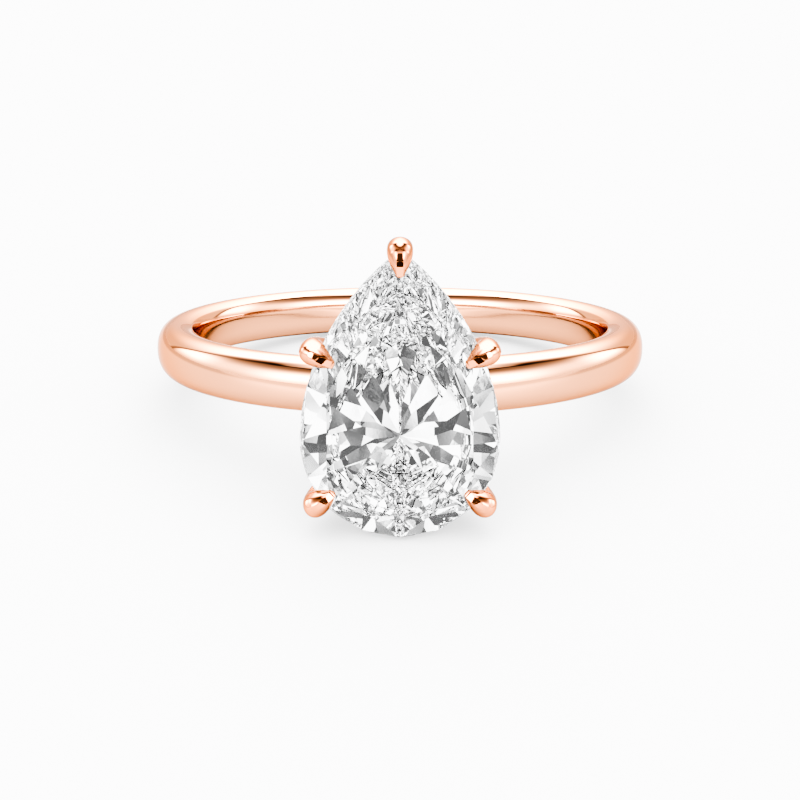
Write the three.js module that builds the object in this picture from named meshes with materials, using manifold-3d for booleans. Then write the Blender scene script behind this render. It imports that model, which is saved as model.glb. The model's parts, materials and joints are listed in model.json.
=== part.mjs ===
// A pear solitaire engagement ring in rose gold: a plain rounded band, a basket head of five
// claws joined by two gallery rails, and a pear brilliant diamond.
//
// The ring is drawn with its finger axis along Z and its head towards -Y, centred on the finger
// axis. It is then laid down as it rests on a table: on the back of its band and on the belly of
// the stone. Millimetres, +Z up.

import * as THREE from "three";
import { mergeVertices } from "three/addons/utils/BufferGeometryUtils.js";
import Module from "manifold-3d";

// ---------------------------------------------------------------- driving dimensions

// Band: US size 6.5. Its section has a comfort-fit bore that eases away at both edges, swelling
// sides and a domed outer face. Depths are measured from the bore outwards.
const BORE_RADIUS = 8.45;
const BAND_THICKNESS = 1.6;
const BAND_WIDTH = 2.04;
const BORE_WIDTH = 1.4;
const BORE_CROWN = 0.08; // how far the bore has eased away at its edges
const BORE_EDGE_DEPTH = 0.2; // where the rounded edge meets the side
const BAND_SIDE_SWELL = 0.25;
const BAND_WIDEST_DEPTH = 0.8;
const BAND_DOME_POWER = 2.3; // 2 is an ellipse, more is squarer
const BAND_SEGMENTS = 84;

// Pear outline, seen along the head: a round belly and two wings that meet at the tip.
const BELLY_RADIUS = 3.4;
const BELLY_CENTRE_Z = -0.97;
const TIP_Z = 5.49;
const WING_SIDE_HANDLE = 2.72;
const WING_TIP_HANDLE = 2.05;
const TIP_HALF_ANGLE = THREE.MathUtils.degToRad(55.3);

// Stone heights, measured outwards from the finger axis.
const GIRDLE_HEIGHT = 13.55;
const GIRDLE_THICKNESS = 0.22;
const CROWN_RISE = 0.57;
const PAVILION_DEPTH = 2.92;
const BEZEL_INSET = 0.72; // from the girdle in to the corners of the table
const STAR_SHARE = 0.5; // how far the star facets reach from the table to the girdle
const LOWER_HALF_SHARE = 0.78; // how far the lower halves reach from the girdle to the culet
const GIRDLE_STEPS = 4; // straight steps along the girdle under each half facet

// Head.
const SOLDER_GAP = 0.03;
const BASE_RADIUS = 0.75;
const BASE_TOP_HEIGHT = 10.4;
const BASE_DIMPLE_DEPTH = 0.12;
const BASE_BEVEL = 0.08;
const PEG_RADIUS = 0.52;
const PEG_BOTTOM_HEIGHT = 9.1;
const UPPER_RAIL = { height: 12.4, inset: 0.79, wireRadius: 0.25, tipRadius: 0.4 };
const LOWER_RAIL = { height: 11.2, inset: 2.15, wireRadius: 0.25, tipRadius: 0.3 };

// Claws: wires that leave the base, cross the lower rail, and bend over the girdle. Sections of
// the upper part: distance out from the girdle, height, and radius.
const CLAW_FOOT = { radius: BASE_RADIUS + 0.33, height: 10.36, wireRadius: 0.3 };
const CLAW_RAIL_RADIUS = 0.34; // of the wire where it crosses the lower rail
const CLAW_SECTIONS = [
  [-0.05, 12.35, 0.37],
  [0.28, 13.33, 0.42],
  [0.24, 13.64, 0.43],
  [0.12, 13.82, 0.42],
  [-0.1, 13.92, 0.38],
  [-0.34, 13.99, 0.3],
  [-0.58, 14.05, 0.18],
  [-0.68, 14.07, 0.05],
];

// Where the claws grip: the place round the pear, how far they turn sideways there, and where
// they cross the lower rail, measured out from the girdle.
const TIP_GRIP = { inset: 0.2, railOffset: -1.4 };
const SHOULDER_GRIP = { station: 1.405, turn: THREE.MathUtils.degToRad(4), railOffset: -1.22 };
const BELLY_GRIP = { station: 0.585, turn: THREE.MathUtils.degToRad(-3), railOffset: -1.17 };

const ROSE_GOLD = 0xecb896;
const DIAMOND_WHITE = 0xf4f6f8;

const wasm = await Module();
wasm.setup();

// ---------------------------------------------------------------- materials

function roseGold() {
  return new THREE.MeshStandardMaterial({ color: ROSE_GOLD, roughness: 0.12, metalness: 1 });
}

function diamondWhite() {
  return new THREE.MeshStandardMaterial({ color: DIAMOND_WHITE, roughness: 0.02, metalness: 0 });
}

// ---------------------------------------------------------------- solids

// A point of the head: across, outwards from the finger axis, and along the finger axis.
function headPoint(flat, height) {
  return new THREE.Vector3(flat.x, -height, flat.y);
}

function toSolid(geometry) {
  const bare = geometry.clone();
  bare.deleteAttribute("normal");
  bare.deleteAttribute("uv");
  const merged = mergeVertices(bare, 1e-4);
  const vertProperties = new Float32Array(merged.attributes.position.array);
  const triVerts = new Uint32Array(merged.index.array);
  return new wasm.Manifold(new wasm.Mesh({ numProp: 3, vertProperties, triVerts }));
}

function toGeometry(solid) {
  const mesh = solid.getMesh();
  const geometry = new THREE.BufferGeometry();
  geometry.setAttribute("position", new THREE.BufferAttribute(mesh.vertProperties, 3));
  geometry.setIndex(new THREE.BufferAttribute(mesh.triVerts, 1));
  geometry.computeVertexNormals();
  return geometry;
}

// Cuts one shape with another and keeps the largest body, without the slivers of the cut.
function cut(geometry, tool) {
  const bodies = toSolid(geometry).subtract(toSolid(tool)).decompose();
  bodies.sort((a, b) => b.volume() - a.volume());
  return toGeometry(bodies[0]);
}

function piece(name, geometry, material) {
  const mesh = new THREE.Mesh(geometry, material);
  mesh.name = name;
  return mesh;
}

// A round wire that follows a path, with its radius read off a list along the path. Its
// sections stay square to the path and keep one axis along `side`.
function taperedWire(path, radii, side, sides, steps) {
  const geometry = new THREE.CylinderGeometry(1, 1, 1, sides, steps);
  const position = geometry.attributes.position;
  for (let i = 0; i < position.count; i += 1) {
    const along = THREE.MathUtils.clamp(position.getY(i) + 0.5, 0, 1);
    const centre = path.getPoint(along);
    const tangent = path.getTangent(along);
    const across = side.clone().addScaledVector(tangent, -side.dot(tangent)).normalize();
    const out = new THREE.Vector3().crossVectors(across, tangent);
    const radius = radiusAt(radii, along);
    centre.addScaledVector(across, position.getX(i) * radius);
    centre.addScaledVector(out, position.getZ(i) * radius);
    position.setXYZ(i, centre.x, centre.y, centre.z);
  }
  return geometry;
}

function radiusAt(radii, along) {
  const place = along * (radii.length - 1);
  const index = Math.min(Math.floor(place), radii.length - 2);
  return THREE.MathUtils.lerp(radii[index], radii[index + 1], place - index);
}

// ---------------------------------------------------------------- pear outline

// The right half of the pear, from the bottom of the belly up to the tip.
function halfPear() {
  const path = new THREE.Path();
  path.absarc(0, BELLY_CENTRE_Z, BELLY_RADIUS, -Math.PI / 2, 0, false);
  path.bezierCurveTo(
    BELLY_RADIUS,
    BELLY_CENTRE_Z + WING_SIDE_HANDLE,
    WING_TIP_HANDLE * Math.sin(TIP_HALF_ANGLE),
    TIP_Z - WING_TIP_HANDLE * Math.cos(TIP_HALF_ANGLE),
    0,
    TIP_Z
  );
  return path;
}

const [BELLY_ARC, WING_CURVE] = halfPear().curves;

// A place on the right half: 0 is the bottom of the belly, 1 is the widest point, 2 is the tip.
function pearPlace(station) {
  const curve = station <= 1 ? BELLY_ARC : WING_CURVE;
  const along = station <= 1 ? station : station - 1;
  const point = curve.getPointAt(along);
  const tangent = curve.getTangentAt(along);
  return { point, normal: new THREE.Vector2(tangent.y, -tangent.x) };
}

function mirrored(place) {
  return {
    point: new THREE.Vector2(-place.point.x, place.point.y),
    normal: new THREE.Vector2(-place.normal.x, place.normal.y),
  };
}

// A place anywhere round the pear: stations 0 to 2 go up the right side, 2 to 4 down the left.
function placeRound(station) {
  const wrapped = THREE.MathUtils.euclideanModulo(station, 4);
  return wrapped <= 2 ? pearPlace(wrapped) : mirrored(pearPlace(4 - wrapped));
}

// ---------------------------------------------------------------- band

// Half the width of the band's side at a depth.
function sideReach(depth) {
  const bulge = 1 - depth / BAND_WIDEST_DEPTH;
  return BAND_WIDTH / 2 - BAND_SIDE_SWELL * bulge * bulge;
}

// Half of the band's section, as [depth, distance along the finger axis], from the middle of the
// bore round the eased edge and the side to the middle of the dome.
function bandHalfSection() {
  const half = BAND_WIDTH / 2;
  const bore = BORE_WIDTH / 2;
  const points = [0.5, 0.75, 1].map((share) => [BORE_CROWN * share ** 4, bore * share]);
  points.push([(BORE_CROWN + BORE_EDGE_DEPTH) / 2, (bore + sideReach(BORE_EDGE_DEPTH)) / 2 + 0.03]);
  const sideSteps = 3;
  for (let i = 0; i < sideSteps; i += 1) {
    const depth = THREE.MathUtils.lerp(BORE_EDGE_DEPTH, BAND_WIDEST_DEPTH, i / sideSteps);
    points.push([depth, sideReach(depth)]);
  }
  const domeSteps = 8;
  for (let i = 0; i <= domeSteps; i += 1) {
    const angle = (Math.PI / 2) * (1 - i / domeSteps);
    const reach = Math.cos(angle) ** (2 / BAND_DOME_POWER);
    const depth = THREE.MathUtils.lerp(BAND_WIDEST_DEPTH, BAND_THICKNESS, reach);
    points.push([depth, half * Math.sin(angle) ** (2 / BAND_DOME_POWER)]);
  }
  return points;
}

// The band's whole section, grown all round by a clearance: distance out from the finger axis, and
// distance along it.
function bandProfile(clearance) {
  const upper = bandHalfSection();
  const lower = upper.slice(0, -1).reverse().map(([depth, along]) => [depth, -along]);
  const middle = BAND_THICKNESS / 2;
  const growth = 1 + clearance / middle;
  const ring = [...upper, ...lower].map(
    ([depth, along]) =>
      new THREE.Vector2(BORE_RADIUS + middle + (depth - middle) * growth, along * growth)
  );
  return [...ring, ring[0].clone()];
}

function bandRing(clearance) {
  const geometry = new THREE.LatheGeometry(bandProfile(clearance).reverse(), BAND_SEGMENTS);
  return geometry.rotateX(Math.PI / 2);
}

function shank() {
  const holeBottom = PEG_BOTTOM_HEIGHT - SOLDER_GAP;
  const holeLength = BASE_TOP_HEIGHT - holeBottom;
  const hole = new THREE.CylinderGeometry(
    PEG_RADIUS + SOLDER_GAP,
    PEG_RADIUS + SOLDER_GAP,
    holeLength,
    24
  );
  hole.translate(0, -holeBottom - holeLength / 2, 0);
  return piece("shank", cut(bandRing(0), hole), roseGold());
}

// ---------------------------------------------------------------- head

// A peg that drops into the band, under a small round seat that saddles the band's dome.
function headBase() {
  const seatFootHeight = BORE_RADIUS + BAND_THICKNESS - 0.35;
  const pegTop = PEG_BOTTOM_HEIGHT + 1.1;
  const profile = [
    [0, PEG_BOTTOM_HEIGHT],
    [PEG_RADIUS, PEG_BOTTOM_HEIGHT],
    [PEG_RADIUS, seatFootHeight],
    [BASE_RADIUS - 0.06, seatFootHeight],
    [BASE_RADIUS, seatFootHeight + 0.3],
    [BASE_RADIUS, BASE_TOP_HEIGHT - BASE_BEVEL],
    [BASE_RADIUS - BASE_BEVEL, BASE_TOP_HEIGHT],
    [0, BASE_TOP_HEIGHT - BASE_DIMPLE_DEPTH],
  ];
  const points = profile.map(([radius, height]) => new THREE.Vector2(radius, height));
  const turned = new THREE.LatheGeometry(points, 32).rotateX(Math.PI);
  const peg = new THREE.CylinderGeometry(PEG_RADIUS, PEG_RADIUS, pegTop - PEG_BOTTOM_HEIGHT, 32);
  peg.translate(0, -(PEG_BOTTOM_HEIGHT + pegTop) / 2, 0);
  const saddled = toSolid(turned).subtract(toSolid(bandRing(SOLDER_GAP)));
  return piece("head_base", toGeometry(saddled.add(toSolid(peg))), roseGold());
}

// One smooth loop of wire that follows the pear at a distance inside it, with a rounded tip.
function galleryRail(name, rail) {
  const wireSides = 8;
  const loopSteps = 72;
  const loop = railLoop(rail);
  const geometry = new THREE.TorusGeometry(1, 0.5, wireSides, loopSteps);
  const position = geometry.attributes.position;
  for (let i = 0; i < position.count; i += 1) {
    const angle = Math.atan2(position.getY(i), position.getX(i));
    const out = Math.hypot(position.getX(i), position.getY(i)) - 1;
    const turn = THREE.MathUtils.euclideanModulo(angle / (2 * Math.PI), 1);
    const tangent = loop.getTangentAt(turn);
    const flat = loop.getPointAt(turn);
    flat.x += tangent.y * out * 2 * rail.wireRadius;
    flat.y -= tangent.x * out * 2 * rail.wireRadius;
    const height = rail.height + position.getZ(i) * 2 * rail.wireRadius;
    const point = headPoint(flat, height);
    position.setXYZ(i, point.x, point.y, point.z);
  }
  return piece(name, geometry, roseGold());
}

// Three arcs and a rounded tip, tangent to each other.
function railLoop(rail) {
  const belly = BELLY_RADIUS - rail.inset;
  const wing = (BELLY_RADIUS ** 2 + (TIP_Z - BELLY_CENTRE_Z) ** 2) / (2 * BELLY_RADIUS) - rail.inset;
  const wingCentre = wing - belly;
  const reach = Math.sqrt((wing - rail.tipRadius) ** 2 - wingCentre ** 2);
  const tipCentreZ = BELLY_CENTRE_Z + reach;
  const tipAngle = Math.atan2(reach, wingCentre);
  const path = new THREE.Path();
  path.absarc(0, BELLY_CENTRE_Z, belly, -Math.PI, 0, false);
  path.absarc(-wingCentre, BELLY_CENTRE_Z, wing, 0, tipAngle, false);
  path.absarc(0, tipCentreZ, rail.tipRadius, tipAngle, Math.PI - tipAngle, false);
  path.absarc(wingCentre, BELLY_CENTRE_Z, wing, Math.PI - tipAngle, Math.PI, false);
  return path;
}

// A claw: a wire that leaves the base, runs outside both rails, and bends over the girdle to a
// point on the crown. Its seat is cut to the stone.
function claw(name, grip) {
  const side = new THREE.Vector3(-grip.normal.y, 0, grip.normal.x);
  const outward = (offset, height) =>
    headPoint(grip.point.clone().addScaledVector(grip.normal, offset), height);
  const foot = grip.point.clone().setLength(CLAW_FOOT.radius);
  const points = [
    headPoint(foot, CLAW_FOOT.height),
    outward(grip.railOffset, LOWER_RAIL.height),
    ...CLAW_SECTIONS.map(([offset, height]) => outward(offset, height)),
  ];
  const radii = [CLAW_FOOT.wireRadius, CLAW_RAIL_RADIUS, ...CLAW_SECTIONS.map((section) => section[2])];
  const path = new THREE.CatmullRomCurve3(points, false, "centripetal");
  const wire = taperedWire(path, radii, side, 12, 36);
  return piece(name, cut(wire, stoneTool()), roseGold());
}

// Where a claw grips the right side of the stone.
function sideGrip({ station, turn, railOffset }) {
  const { point, normal } = placeRound(station);
  return { point, normal: normal.rotateAround(new THREE.Vector2(), turn), railOffset };
}

function claws() {
  const tip = {
    point: new THREE.Vector2(0, TIP_Z - TIP_GRIP.inset),
    normal: new THREE.Vector2(0, 1),
    railOffset: TIP_GRIP.railOffset,
  };
  const made = [claw("claw_tip", tip)];
  for (const [place, setting] of [["shoulder", SHOULDER_GRIP], ["belly", BELLY_GRIP]]) {
    const right = sideGrip(setting);
    const left = { ...mirrored(right), railOffset: right.railOffset };
    made.push(claw(`claw_${place}_left`, left), claw(`claw_${place}_right`, right));
  }
  return made;
}

// ---------------------------------------------------------------- stone

// The corners of a pear brilliant. Bezels stand at the odd eighths of each side and half facets
// meet the girdle between them, so a ridge runs from the culet to the tip.
function brilliantCorners() {
  const girdleTop = GIRDLE_HEIGHT + GIRDLE_THICKNESS / 2;
  const girdleBottom = GIRDLE_HEIGHT - GIRDLE_THICKNESS / 2;
  const tableHeight = girdleTop + CROWN_RISE;
  const culetHeight = girdleBottom - PAVILION_DEPTH;
  const culet = new THREE.Vector2(0, BELLY_CENTRE_Z);
  const mains = [];
  for (let i = 0; i < 8; i += 1) {
    const station = 0.25 + i / 2;
    const place = placeRound(station);
    const corner = place.point.clone().addScaledVector(place.normal, -BEZEL_INSET);
    mains.push({ station, ...place, corner });
  }
  const starHeight = tableHeight - CROWN_RISE * STAR_SHARE;
  const ridgeHeight = girdleBottom - PAVILION_DEPTH * LOWER_HALF_SHARE;
  const valleys = mains.map((main, i) => {
    const next = mains[(i + 1) % mains.length];
    const starReach = (place) => place.corner.dot(place.normal) + BEZEL_INSET * STAR_SHARE;
    const ridgeReach = (place) => {
      const full = place.point.clone().sub(culet).dot(place.normal);
      return culet.dot(place.normal) + full * (1 - LOWER_HALF_SHARE);
    };
    return {
      star: headPoint(meeting(main, next, starReach), starHeight),
      ridge: headPoint(meeting(main, next, ridgeReach), ridgeHeight),
    };
  });
  return { girdleTop, girdleBottom, tableHeight, culet: headPoint(culet, culetHeight), mains, valleys };
}

// Where the level lines of two neighbouring facets cross, each at its own reach along its normal.
function meeting(first, second, reach) {
  const a = first.normal;
  const b = second.normal;
  const determinant = a.x * b.y - a.y * b.x;
  const alongA = reach(first);
  const alongB = reach(second);
  return new THREE.Vector2(
    (alongA * b.y - alongB * a.y) / determinant,
    (alongB * a.x - alongA * b.x) / determinant
  );
}

// The girdle edge of a half facet: on the pear's outline, and in the plane of the facet.
function girdleEdge(fromStation, toStation, height, apex) {
  const start = headPoint(placeRound(fromStation).point, height);
  const end = headPoint(placeRound(toStation).point, height);
  const plane = new THREE.Plane().setFromCoplanarPoints(start, end, apex);
  const edge = [];
  for (let i = 0; i <= GIRDLE_STEPS; i += 1) {
    const station = THREE.MathUtils.lerp(fromStation, toStation, i / GIRDLE_STEPS);
    const flat = placeRound(station).point;
    const y = -(plane.normal.x * flat.x + plane.normal.z * flat.y + plane.constant) / plane.normal.y;
    edge.push(new THREE.Vector3(flat.x, y, flat.y));
  }
  return edge;
}

function brilliantFacets() {
  const stone = brilliantCorners();
  const table = stone.mains.map((main) => headPoint(main.corner, stone.tableHeight));
  const facets = [table];
  stone.mains.forEach((main, i) => {
    const next = stone.mains[(i + 1) % stone.mains.length];
    const before = stone.valleys[(i + stone.valleys.length - 1) % stone.valleys.length];
    const after = stone.valleys[i];
    const top = headPoint(main.point, stone.girdleTop);
    const bottom = headPoint(main.point, stone.girdleBottom);
    facets.push([table[i], before.star, top, after.star]);
    facets.push([table[i], after.star, table[(i + 1) % table.length]]);
    facets.push([stone.culet, after.ridge, bottom, before.ridge]);
    const middle = main.station + 0.25;
    const far = next.station < main.station ? next.station + 4 : next.station;
    for (const [from, to] of [[main.station, middle], [middle, far]]) {
      const upper = girdleEdge(from, to, stone.girdleTop, after.star);
      const lower = girdleEdge(from, to, stone.girdleBottom, after.ridge);
      facets.push([after.star, ...upper]);
      facets.push([after.ridge, ...lower.slice().reverse()]);
      for (let step = 0; step < GIRDLE_STEPS; step += 1) {
        facets.push([upper[step], lower[step], lower[step + 1], upper[step + 1]]);
      }
    }
  });
  return facets;
}

function facetedGeometry(facets) {
  const positions = [];
  for (const facet of facets) {
    for (let i = 1; i < facet.length - 1; i += 1) {
      for (const corner of [facet[0], facet[i], facet[i + 1]]) {
        positions.push(corner.x, corner.y, corner.z);
      }
    }
  }
  const geometry = new THREE.BufferGeometry();
  geometry.setAttribute("position", new THREE.Float32BufferAttribute(positions, 3));
  geometry.computeVertexNormals();
  return geometry;
}

function diamond() {
  return piece("diamond", facetedGeometry(brilliantFacets()), diamondWhite());
}

// The stone swollen by the solder gap, which cuts the claws' seats.
function stoneTool() {
  const swell = 1 + SOLDER_GAP / BELLY_RADIUS;
  const tool = facetedGeometry(brilliantFacets());
  tool.translate(0, GIRDLE_HEIGHT, -BELLY_CENTRE_Z);
  tool.scale(swell, swell, swell);
  tool.translate(0, -GIRDLE_HEIGHT, BELLY_CENTRE_Z);
  return tool;
}

// ---------------------------------------------------------------- the ring, laid down

// The slope of the table top under the ring: it touches the stone's belly and the band's back.
function restTilt() {
  const bellyY = -(GIRDLE_HEIGHT - GIRDLE_THICKNESS / 2);
  const bellyZ = BELLY_CENTRE_Z - BELLY_RADIUS;
  const slopes = bandProfile(0).map((point) => (point.y - bellyZ) / (point.x - bellyY));
  return Math.atan(Math.min(...slopes));
}

const ring = new THREE.Group();
ring.add(
  shank(),
  headBase(),
  galleryRail("lower_gallery_rail", LOWER_RAIL),
  galleryRail("upper_gallery_rail", UPPER_RAIL),
  ...claws(),
  diamond()
);
ring.rotation.x = -restTilt();

const lying = new THREE.Group();
lying.add(ring);
lying.updateMatrixWorld(true);
const box = new THREE.Box3().setFromObject(lying, true);
const middle = box.getCenter(new THREE.Vector3());
ring.position.set(-middle.x, -middle.y, -box.min.z);

export default lying;
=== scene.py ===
"""A pear solitaire engagement ring in rose gold, lying on a pale floor inside a soft light tent."""

import json
import math

import bmesh
import bpy
from mathutils import Matrix, Vector


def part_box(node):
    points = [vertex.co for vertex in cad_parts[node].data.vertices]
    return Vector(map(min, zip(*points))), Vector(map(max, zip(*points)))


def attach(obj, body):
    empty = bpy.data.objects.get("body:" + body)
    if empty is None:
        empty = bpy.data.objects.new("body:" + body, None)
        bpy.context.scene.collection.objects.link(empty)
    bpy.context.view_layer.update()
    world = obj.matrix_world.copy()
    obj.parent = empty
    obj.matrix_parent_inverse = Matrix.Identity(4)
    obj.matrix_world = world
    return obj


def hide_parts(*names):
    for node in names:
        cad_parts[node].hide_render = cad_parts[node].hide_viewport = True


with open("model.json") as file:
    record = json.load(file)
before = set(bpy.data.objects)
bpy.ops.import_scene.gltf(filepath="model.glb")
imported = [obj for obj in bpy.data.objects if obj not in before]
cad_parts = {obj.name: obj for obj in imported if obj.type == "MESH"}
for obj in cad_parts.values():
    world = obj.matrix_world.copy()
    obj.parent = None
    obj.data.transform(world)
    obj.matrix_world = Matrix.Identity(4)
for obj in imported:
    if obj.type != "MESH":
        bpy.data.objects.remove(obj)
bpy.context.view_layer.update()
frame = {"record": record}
record = frame["record"]
MM = 0.001

# ---------------------------------------------------------------- design sizes, millimetres

# The ring's own frame has the finger axis along Z and the head towards -Y. A height is a distance
# from the finger axis towards the head, and a depth in the band is one from its bore outwards.
BORE_RADIUS = 8.45
BAND_THICKNESS = 1.6
BAND_WIDTH = 2.04
BORE_WIDTH = 1.4
BORE_CROWN = 0.08
BORE_EDGE_DEPTH = 0.2
BAND_SIDE_SWELL = 0.25
BAND_WIDEST_DEPTH = 0.8
BAND_DOME_POWER = 2.3
BAND_TURNS = 480
BORE_STEPS, EDGE_STEPS, SIDE_STEPS, DOME_STEPS = 16, 16, 12, 48

# The pear's outline: half a circle for the belly, and on each side a Bezier wing up to the tip.
BELLY_RADIUS = 3.4
BELLY_CENTRE_Z = -0.97
TIP_Z = 5.49
WING_SIDE_HANDLE = 2.72
WING_TIP_HANDLE = 2.05
TIP_HALF_ANGLE = math.radians(55.3)
WING_SAMPLES = 2000

# The stone. A station is a place round the pear, as place_round counts them.
GIRDLE_HEIGHT = 13.55
GIRDLE_THICKNESS = 0.22
CROWN_RISE = 0.57
PAVILION_DEPTH = 2.92
BEZEL_INSET = 0.72
STAR_SHARE = 0.5
LOWER_HALF_SHARE = 0.78
MAIN_FACETS = 8
FIRST_MAIN_STATION = 0.25
HALF_FACET_SPAN = 0.25
CROWN_VALLEY_CUT = 0.04
PAVILION_VALLEY_CUT = 0.06
# The valley at the tip, which gets no narrow facet.
TIP_VALLEY = 3
# The matt rim between the girdle and the crown, whose dark grey is a painted shade line drawing the
# stone's outline.
RIM_WIDTH = 0.019
# How the stone is cut from its blank, and the slope under which a face belongs to the girdle.
OUTLINE_STEPS = 64
BLANK_MARGIN = 1.0
CUT_TOLERANCE = 1e-5
MERGE_DISTANCE = 1e-4
UPRIGHT_SLOPE = 0.02

BASE_RADIUS = 0.75
BASE_SINK = 0.4
BASE_TOP_HEIGHT = 10.4
# The base's profile: added radius and height over the foot, then lost radius and drop from the top.
BASE_FLARE = ((0.16, 0.0), (0.06, 0.36), (0.01, 0.46), (0.0, 0.56))
BASE_BEVEL = ((0.0, 0.1), (0.03, 0.03), (0.1, 0.0))
BASE_DIMPLE_RADIUS = 0.3
BASE_DIMPLE_DEPTH = 0.07
BASE_SIDES = 96
BASE_CREASE = math.radians(40)

UPPER_RAIL = {"height": 12.4, "inset": 0.79, "wire": 0.25, "tip": 0.4}
LOWER_RAIL = {"height": 11.2, "inset": 2.15, "wire": 0.25, "tip": 0.3}
RAIL_STEP = 0.07
RAIL_LEAST_STEPS = 12
RAIL_SIDES = 28

SOLDER_GAP = 0.03
CREASE = math.radians(28)

# A claw's wire: its foot beside the top of the base, its neck as distance out from the girdle and
# height, and its radii at the foot, at the lower rail's height and at the neck.
CLAW_FOOT_RADIUS = BASE_RADIUS + 0.33
CLAW_FOOT_HEIGHT = 10.36
CLAW_NECK = (-0.05, 12.35)
CLAW_WIRE_RADII = (0.3, 0.34, 0.38)
# Head of a claw, from where it passes the girdle to its point: the middle of each section, the top
# of it (both as distance out from the girdle and height), and its half width.
CLAW_HEAD = (
    ((0.26, 13.33), (0.64, 13.40), 0.43),
    ((0.22, 13.64), (0.63, 13.96), 0.44),
    ((0.12, 13.82), (0.53, 14.20), 0.43),
    ((-0.08, 13.92), (0.20, 14.36), 0.38),
    ((-0.30, 13.99), (-0.20, 14.38), 0.29),
    ((-0.53, 14.05), (-0.53, 14.28), 0.16),
)
CLAW_SIDES = 48
CLAW_STEPS = 120
# The flat ridge filed along a claw's crest: its half width, its largest share of the claw's half
# width, the section that it starts at, the share of the claw's length in which it widens, and the
# share of a section's quarter turn that stays round.
CLAW_RIDGE = 0.11
CLAW_RIDGE_LIMIT = 0.75
CLAW_RIDGE_SECTION = 5.55
CLAW_RIDGE_RUN = 0.03
CLAW_ROUND_SHARE = 0.8
# The rounded point: its length, its loops, the number of loops that would close it to nothing,
# and the share of a section's rise that would be left there.
CLAW_POINT_LENGTH = 0.1
CLAW_POINT_LOOPS = 6
CLAW_POINT_CLOSING = 6.4
CLAW_POINT_END_RISE = 0.55

# Where the claws grip. For the tip: how far in from it, and the distance out from the girdle to the
# claw's middle at the lower rail's height. For the others: the station, the turn away from the
# pear's normal there, and the same distance.
TIP_GRIP_INSET = 0.2
TIP_RAIL_OFFSET = -1.4
SHOULDER_GRIP = (1.405, math.radians(4), -1.22)
BELLY_GRIP = (0.585, math.radians(-3), -1.17)

# ---------------------------------------------------------------- camera and render settings

CAMERA_ELEVATION = math.radians(10.0)
CAMERA_PITCH = math.radians(2.0)
CAMERA_DISTANCE = 68.8 * MM
CAMERA_LENS = 73.9
SENSOR_WIDTH = 36
CLIP_NEAR = 0.001
CLIP_FAR = 10

MOST_BOUNCES = 96
MIRROR_BOUNCES = 80

# ---------------------------------------------------------------- looks

# Nearly all of a noise's values lie in this range.
NOISE_RANGE = (0.3, 0.7)

GOLD_PALE = (0.895, 0.405, 0.212)
GOLD_DEEP = (0.885, 0.395, 0.200)
# Painted shade: the claws' gold is a deeper, redder copy of the band's gold, which stands in for the
# darker shading of the claws' reflections.
SHADED_CLAW_GOLD_PALE = (0.84, 0.315, 0.145)
SHADED_CLAW_GOLD_DEEP = (0.82, 0.295, 0.130)
GOLD_EDGE_TINT = (0.9, 0.6, 0.44)
# Painted reflection: gold met by a ray that gold has mirrored already is painted paler, which keeps
# the bore from turning red.
MIRRORED_GOLD = (0.86, 0.72, 0.64)
GOLD_ROUGHNESS = (0.02, 0.045)
GOLD_HAZE = {"scale": 900, "detail": 4}
GOLD_TONE = {"scale": 260}
GOLD_RIPPLE = {"scale": 420, "detail": 1}
GOLD_RIPPLE_STRENGTH = 0.02
GOLD_RIPPLE_DEPTH = 0.02 * MM

DIAMOND_IOR = 2.417
DIAMOND_SURFACE_SHINE = 0.05
DIAMOND_WHITE = (1, 1, 1)
DIAMOND_COOL_WHITE = (0.985, 0.992, 1)
DIAMOND_HAZE = {"scale": 1500}
DIAMOND_HAZE_RANGE = (0.4, 0.6)
DIAMOND_GRAIN = {"scale": 6000}
DIAMOND_GRAIN_DEPTH = 0.005 * MM
FACET_ROUGHNESS = (0.0, 0.0035)
FACET_GRAIN_STRENGTH = 0.01
GIRDLE_ROUGHNESS = (0.001, 0.0035)
GIRDLE_GRAIN_STRENGTH = 0.02
RIM_GRAIN = {"scale": 9000}
# Painted shade: the rim's dark grey tone, which draws a thin shade line round the stone.
RIM_PAINTED_SHADE_TONE = (0.26, 0.38)
RIM_ROUGHNESS = (0.5, 0.7)
RIM_GRAIN_STRENGTH = 0.3
RIM_GRAIN_DEPTH = 0.003 * MM

# ---------------------------------------------------------------- floor and light

# Every ramp below goes smoothly from its third number to its fourth as its input goes from its
# first to its second, or from 0 to 1 where it has only two numbers.

FLOOR_HALF_SIZE = 3
FLOOR_ALBEDO = 0.5
# The share of the floor's own even light in what the camera sees of it, and that light's radiance.
FLOOR_EVENNESS = 0.31
FLOOR_OWN_LIGHT = 1.95
# The floor's painted shade, seen only in mirrored rays, by distance in metres towards the front, to
# either
# side and from its middle: darker under and behind the ring and far away from it, and a nearly black
# painted patch at the foot of the card round the lens.
FLOOR_FRONT_SHADE = (0.004, 0.022, 0.62, 1.0)
FLOOR_FAR_SHADE = (0.03, 0.05, 1.0, 0.62)
FLOOR_CARD_SHADE_FRONT = (0.031, 0.035)
FLOOR_CARD_SHADE_SIDE = (0.028, 0.024)
FLOOR_CARD_SHADE_TONE = 0.02

# The tent, by the ray's direction: height, across (to either side), back and front are the parts
# of a unit vector. A glow is the natural logarithm of a radiance.

# A dark seam parts the bright top from the sides. It runs up both sides and curls inwards over the
# top, and it is level across the front.
SEAM_REACH = 0.775
SEAM_CURL_HEIGHT = 0.42
SEAM_CURL = (-0.02, 0.02, 0.3, 1.05)
SEAM_FRONT_HEIGHT = 0.765
SEAM_TURN_TO_FRONT = (-0.05, -0.25)
SEAM_SOFTNESS = (-0.012, 0.012)
SEAM_DARKNESS = (-0.15, 0.3, 3.2, 0.7)
SEAM_WIDTH = (-0.1, 0.2, 0.014, 0.03)

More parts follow.
